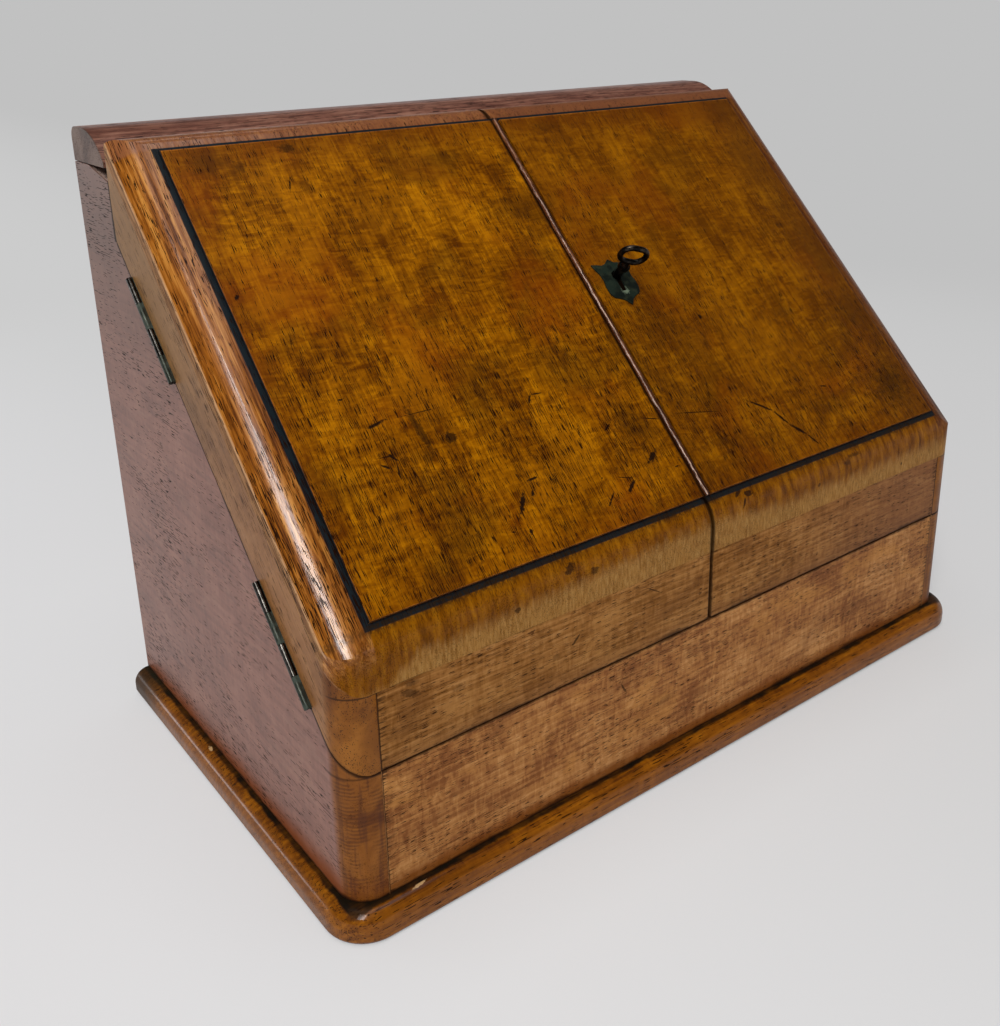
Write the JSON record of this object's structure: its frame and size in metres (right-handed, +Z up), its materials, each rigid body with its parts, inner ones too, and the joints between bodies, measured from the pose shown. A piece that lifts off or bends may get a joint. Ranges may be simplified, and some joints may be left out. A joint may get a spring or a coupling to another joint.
{
  "type": "stationery cabinet",
  "caption": "Desk-top oak stationery cabinet with sloped thumb-moulded doors on side hinges, a lift-up lid, a key lock and an inner letter rack over a pen tray.",
  "frame": {"origin": "on the underside of the base, midway across, below the front face of the body", "axes": "+X to the viewer's right across the front, +Y back from the front face, +Z up"},
  "size_m": [0.381, 0.2201, 0.2805],
  "materials": {
    "oak_front": "waxed golden oak",
    "oak_side": "faded grey-brown oak",
    "oak_base": "dark glossy oak",
    "oak_inside": "plain inside oak",
    "hinge_metal": "blackened brass with verdigris",
    "lock_brass": "dull brass",
    "lock_iron": "blackened iron"
  },
  "bodies": {
    "carcase": {"base_plinth": "oak_base", "inside_floor": "oak_inside", "side_left": "oak_side", "side_right": "oak_side", "back_board": "oak_side", "front_board": "oak_front", "lid_rest_left": "oak_inside", "lid_rest_right": "oak_inside", "pen_tray": "oak_inside", "rack_end_left": "oak_inside", "rack_end_right": "oak_inside", "rack_divider_1": "oak_inside", "rack_divider_2": "oak_inside", "rack_divider_3": "oak_inside", "rack_divider_4": "oak_inside", "rack_partition": "oak_inside", "left_hinge_carcase_leaves": "hinge_metal", "left_hinge_pins": "hinge_metal", "left_hinge_carcase_screws": "hinge_metal", "right_hinge_carcase_leaves": "hinge_metal", "right_hinge_pins": "hinge_metal", "right_hinge_carcase_screws": "hinge_metal", "lid_hinge_carcase_leaves": "hinge_metal", "lid_hinge_pins": "hinge_metal", "lid_hinge_carcase_screws": "hinge_metal", "bolt_keep": "lock_brass"},
    "left_door": {"left_door_board": "oak_front", "left_door_cheek": "oak_front", "left_door_rail": "oak_front", "left_hinge_door_leaves": "hinge_metal", "left_hinge_door_screws": "hinge_metal", "strike_plate": "lock_brass", "bolt_guide": "lock_brass"},
    "right_door": {"right_door_board": "oak_front", "right_door_cheek": "oak_front", "right_door_rail": "oak_front", "right_hinge_door_leaves": "hinge_metal", "right_hinge_door_screws": "hinge_metal", "meeting_bead": "oak_front", "escutcheon": "hinge_metal", "lock_case": "lock_iron", "lock_cap": "lock_iron"},
    "lid": {"lid_board": "oak_side", "lid_hinge_lid_leaves": "hinge_metal", "lid_hinge_lid_screws": "hinge_metal"},
    "key": {"key": "lock_iron"},
    "lock_bolt": {"lock_bolt": "lock_brass"},
    "slide_bolt": {"slide_bolt": "lock_brass"}
  },
  "joints": [
    {"name": "left_door_hinge", "type": "hinge", "parent": "carcase", "child": "left_door", "pos_m": [-0.1843, 0, 0.06728], "axis": [0, -0.7071, -0.7071], "range_deg": [0, 120]},
    {"name": "right_door_hinge", "type": "hinge", "parent": "carcase", "child": "right_door", "pos_m": [0.1843, 0, 0.06728], "axis": [0, 0.7071, 0.7071], "range_deg": [0, 120]},
    {"name": "lid_hinge", "type": "hinge", "parent": "carcase", "child": "lid", "pos_m": [0, 0.2113, 0.2657], "axis": [-1, 0, 0], "range_deg": [0, 100]},
    {"name": "key_turn", "type": "hinge", "parent": "right_door", "child": "key", "pos_m": [0.0194, 0.11095, 0.17795], "axis": [0, -0.7071, 0.7071], "range_deg": [0, 150]},
    {"name": "lock_bolt_slide", "type": "slide", "parent": "right_door", "child": "lock_bolt", "axis": [-1, 0, 0], "range_m": [0, 0.005]},
    {"name": "slide_bolt_slide", "type": "slide", "parent": "left_door", "child": "slide_bolt", "axis": [0, 0, -1], "range_m": [0, 0.008]}
  ],
  "couplings": [
    {"joint": "key_turn", "follows": "lock_bolt_slide", "rad_per_m": 523.6}
  ]
}
